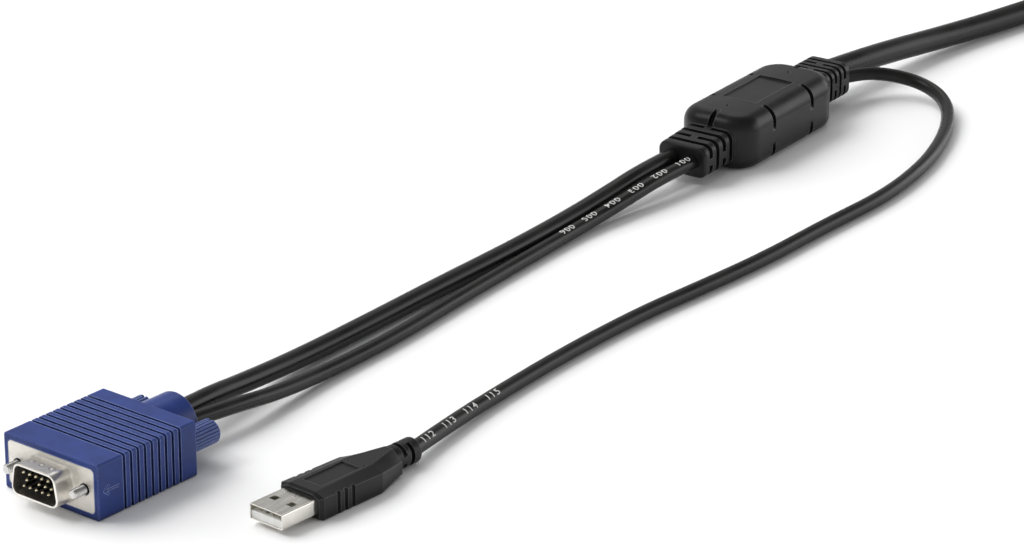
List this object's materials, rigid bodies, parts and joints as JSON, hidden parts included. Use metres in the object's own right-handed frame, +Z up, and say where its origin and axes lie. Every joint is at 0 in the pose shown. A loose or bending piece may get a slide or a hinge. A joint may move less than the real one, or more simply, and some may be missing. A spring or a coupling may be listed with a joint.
{
  "type": "kvm cable",
  "caption": "Console cable: a ribbed black junction joins a blue video plug with thumbscrews and a black data plug to a trunk that ends in a second video plug.",
  "frame": {"origin": "middle of the junction housing's underside, on the surface the cable lies on", "axes": "+X along the junction from the gland of the console leads to the gland of the trunk, +Z up, +Y across the junction to the left when looking along +X"},
  "size_m": [0.7364, 0.1211, 0.0216],
  "materials": {
    "black_moulding": "satin, fine grain",
    "blue_moulding": "satin, fine grain",
    "nickel_plate": "bright nickel plate",
    "black_insulator": "satin",
    "gold_contact": "thin gold plate",
    "screw_steel": "nickel plate",
    "white_plastic": "satin",
    "cord_jacket": "satin"
  },
  "bodies": {
    "cable": {"junction_housing": "black_moulding", "data_grip": "black_moulding", "data_shell": "nickel_plate", "data_tongue": "white_plastic", "data_contacts": "gold_contact", "video_cord": "cord_jacket", "side_cord": "cord_jacket", "data_cord": "cord_jacket", "trunk_cord": "cord_jacket", "trunk_coil": "cord_jacket", "trunk_tail": "cord_jacket", "console_hood": "blue_moulding", "console_front_shell": "nickel_plate", "console_pin_block": "black_insulator", "console_pins": "gold_contact", "switch_hood": "blue_moulding", "switch_front_shell": "nickel_plate", "switch_pin_block": "black_insulator", "switch_pins": "gold_contact"},
    "console_left_thumbscrew": {"console_left_knob": "blue_moulding", "console_left_screw": "screw_steel"},
    "console_right_thumbscrew": {"console_right_knob": "blue_moulding", "console_right_screw": "screw_steel"},
    "switch_left_thumbscrew": {"switch_left_knob": "blue_moulding", "switch_left_screw": "screw_steel"},
    "switch_right_thumbscrew": {"switch_right_knob": "blue_moulding", "switch_right_screw": "screw_steel"}
  },
  "joints": [
    {"name": "console_left_turn", "type": "hinge", "parent": "cable", "child": "console_left_thumbscrew", "pos_m": [-0.34362, 0.02494, 0.0082], "axis": [0.9955, -0.0945, 0], "continuous": true},
    {"name": "console_right_turn", "type": "hinge", "parent": "cable", "child": "console_right_thumbscrew", "pos_m": [-0.34598, 0.00006, 0.0082], "axis": [0.9955, -0.0945, 0], "continuous": true},
    {"name": "switch_left_turn", "type": "hinge", "parent": "cable", "child": "switch_left_thumbscrew", "pos_m": [0.378, -0.05849, 0.0082], "axis": [-1, 0, 0], "continuous": true},
    {"name": "switch_right_turn", "type": "hinge", "parent": "cable", "child": "switch_right_thumbscrew", "pos_m": [0.378, -0.03351, 0.0082], "axis": [-1, 0, 0], "continuous": true}
  ]
}
